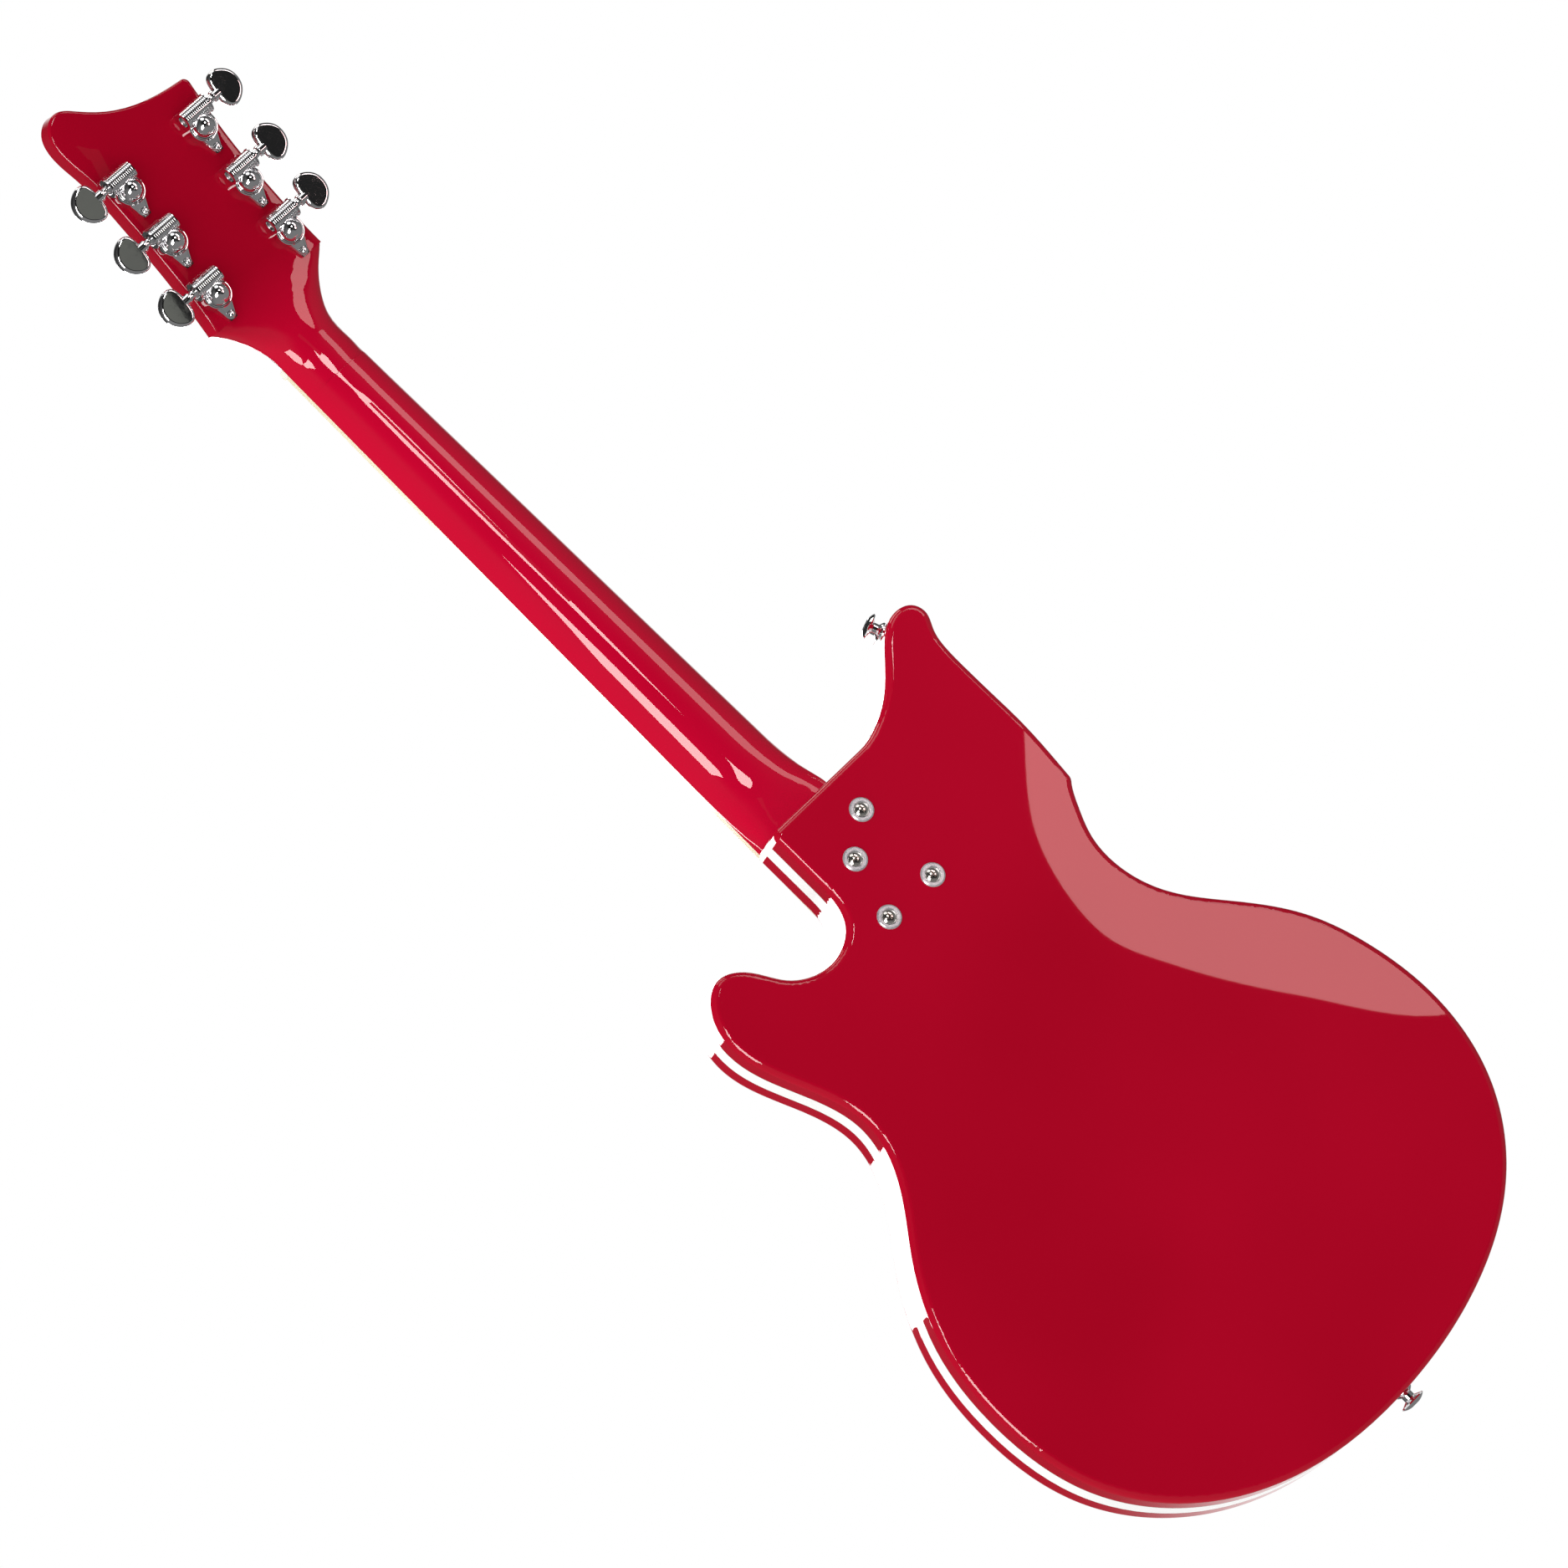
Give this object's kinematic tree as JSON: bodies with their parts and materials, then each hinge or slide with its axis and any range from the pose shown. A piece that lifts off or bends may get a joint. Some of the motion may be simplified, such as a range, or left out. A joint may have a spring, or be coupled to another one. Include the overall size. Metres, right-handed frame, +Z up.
{
  "type": "electric guitar",
  "caption": "Solid-body electric guitar with red halves round a white rim band, bolt-on neck, tilted asymmetric headstock and chrome geared tuners.",
  "frame": {"origin": "centre line of the neck, at the nut's playing face, on the glue line between the neck and its fingerboard; the headstock rests in a hanger here", "axes": "+Z up the neck towards the headstock, +Y out of the back, +X towards the treble side, so the strings face -Y"},
  "size_m": [0.3602, 0.083, 1.0419],
  "materials": {
    "red_lacquer": "gloss",
    "red_neck": "gloss",
    "white_band": "gloss",
    "rosewood": "satin",
    "cream_binding": "gloss",
    "pearl": "gloss",
    "fret_wire": "polished",
    "bone": "satin",
    "steel": "satin",
    "chrome": "polished",
    "white_guard": "gloss",
    "pickup_cover": "polished",
    "string_wire": "polished",
    "black_knob": "gloss"
  },
  "bodies": {
    "guitar": {"body_back": "red_lacquer", "body_front": "red_lacquer", "body_middle": "white_band", "neck": "red_neck", "fingerboard": "rosewood", "fingerboard_binding": "cream_binding", "position_markers": "pearl", "frets": "fret_wire", "nut": "bone", "truss_rod": "steel", "neck_screw_ferrules": "chrome", "neck_screws": "chrome", "tuner_housings": "chrome", "tuner_bushings": "chrome", "tuner_screws": "chrome", "pickguard": "white_guard", "pickguard_screws": "chrome", "pickup_screws": "chrome", "neck_pickup": "pickup_cover", "bridge_pickup": "pickup_cover", "pole_pieces": "steel", "bridge": "chrome", "bridge_saddles": "chrome", "bridge_posts": "chrome", "tailpiece": "chrome", "tailpiece_studs": "chrome", "strings": "string_wire", "strap_buttons": "chrome", "strap_screws": "chrome", "pot_casings": "steel", "pot_nuts": "chrome", "switch_body": "steel", "output_jack": "chrome"},
    "button_1": {"tuner_button_1": "chrome", "tuner_worm_1": "steel"},
    "post_1": {"string_post_1": "chrome"},
    "button_2": {"tuner_button_2": "chrome", "tuner_worm_2": "steel"},
    "post_2": {"string_post_2": "chrome"},
    "button_3": {"tuner_button_3": "chrome", "tuner_worm_3": "steel"},
    "post_3": {"string_post_3": "chrome"},
    "button_4": {"tuner_button_4": "chrome", "tuner_worm_4": "steel"},
    "post_4": {"string_post_4": "chrome"},
    "button_5": {"tuner_button_5": "chrome", "tuner_worm_5": "steel"},
    "post_5": {"string_post_5": "chrome"},
    "button_6": {"tuner_button_6": "chrome", "tuner_worm_6": "steel"},
    "post_6": {"string_post_6": "chrome"},
    "volume_control": {"volume_knob": "black_knob", "volume_shaft": "steel"},
    "tone_control": {"tone_knob": "black_knob", "tone_shaft": "steel"},
    "lever": {"switch_lever": "chrome"}
  },
  "joints": [
    {"name": "button_1_turn", "type": "hinge", "parent": "guitar", "child": "button_1", "pos_m": [0.029, 0.0378, 0.06341], "axis": [1, 0, 0], "continuous": true},
    {"name": "post_1_turn", "type": "hinge", "parent": "guitar", "child": "post_1", "pos_m": [0.029, 0.02884, 0.05659], "axis": [0, -0.9659, 0.2588], "continuous": true},
    {"name": "button_2_turn", "type": "hinge", "parent": "guitar", "child": "button_2", "pos_m": [0.029, 0.04767, 0.10021], "axis": [1, 0, 0], "continuous": true},
    {"name": "post_2_turn", "type": "hinge", "parent": "guitar", "child": "post_2", "pos_m": [0.029, 0.0387, 0.0934], "axis": [0, -0.9659, 0.2588], "continuous": true},
    {"name": "button_3_turn", "type": "hinge", "parent": "guitar", "child": "button_3", "pos_m": [0.029, 0.05719, 0.13575], "axis": [1, 0, 0], "continuous": true},
    {"name": "post_3_turn", "type": "hinge", "parent": "guitar", "child": "post_3", "pos_m": [0.029, 0.04822, 0.12894], "axis": [0, -0.9659, 0.2588], "continuous": true},
    {"name": "button_4_turn", "type": "hinge", "parent": "guitar", "child": "button_4", "pos_m": [-0.029, 0.05735, 0.13633], "axis": [1, 0, 0], "continuous": true},
    {"name": "post_4_turn", "type": "hinge", "parent": "guitar", "child": "post_4", "pos_m": [-0.029, 0.04838, 0.12952], "axis": [0, -0.9659, 0.2588], "continuous": true},
    {"name": "button_5_turn", "type": "hinge", "parent": "guitar", "child": "button_5", "pos_m": [-0.029, 0.0471, 0.09808], "axis": [1, 0, 0], "continuous": true},
    {"name": "post_5_turn", "type": "hinge", "parent": "guitar", "child": "post_5", "pos_m": [-0.029, 0.03813, 0.09127], "axis": [0, -0.9659, 0.2588], "continuous": true},
    {"name": "button_6_turn", "type": "hinge", "parent": "guitar", "child": "button_6", "pos_m": [-0.029, 0.0378, 0.06341], "axis": [1, 0, 0], "continuous": true},
    {"name": "post_6_turn", "type": "hinge", "parent": "guitar", "child": "post_6", "pos_m": [-0.029, 0.02884, 0.05659], "axis": [0, -0.9659, 0.2588], "continuous": true},
    {"name": "volume_turn", "type": "hinge", "parent": "guitar", "child": "volume_control", "pos_m": [0.112, 0, -0.63], "axis": [0, -1, 0], "range_deg": [0, 300]},
    {"name": "tone_turn", "type": "hinge", "parent": "guitar", "child": "tone_control", "pos_m": [0.133, 0, -0.676], "axis": [0, -1, 0], "range_deg": [0, 300]},
    {"name": "switch_throw", "type": "hinge", "parent": "guitar", "child": "lever", "pos_m": [0.092, 0.006, -0.462], "axis": [1, 0, 0], "range_deg": [-12, 12]}
  ],
  "couplings": [
    {"joint": "post_1_turn", "follows": "button_1_turn", "ratio": 0.071429},
    {"joint": "post_2_turn", "follows": "button_2_turn", "ratio": 0.071429},
    {"joint": "post_3_turn", "follows": "button_3_turn", "ratio": 0.071429},
    {"joint": "post_4_turn", "follows": "button_4_turn", "ratio": -0.071429},
    {"joint": "post_5_turn", "follows": "button_5_turn", "ratio": -0.071429},
    {"joint": "post_6_turn", "follows": "button_6_turn", "ratio": -0.071429}
  ]
}
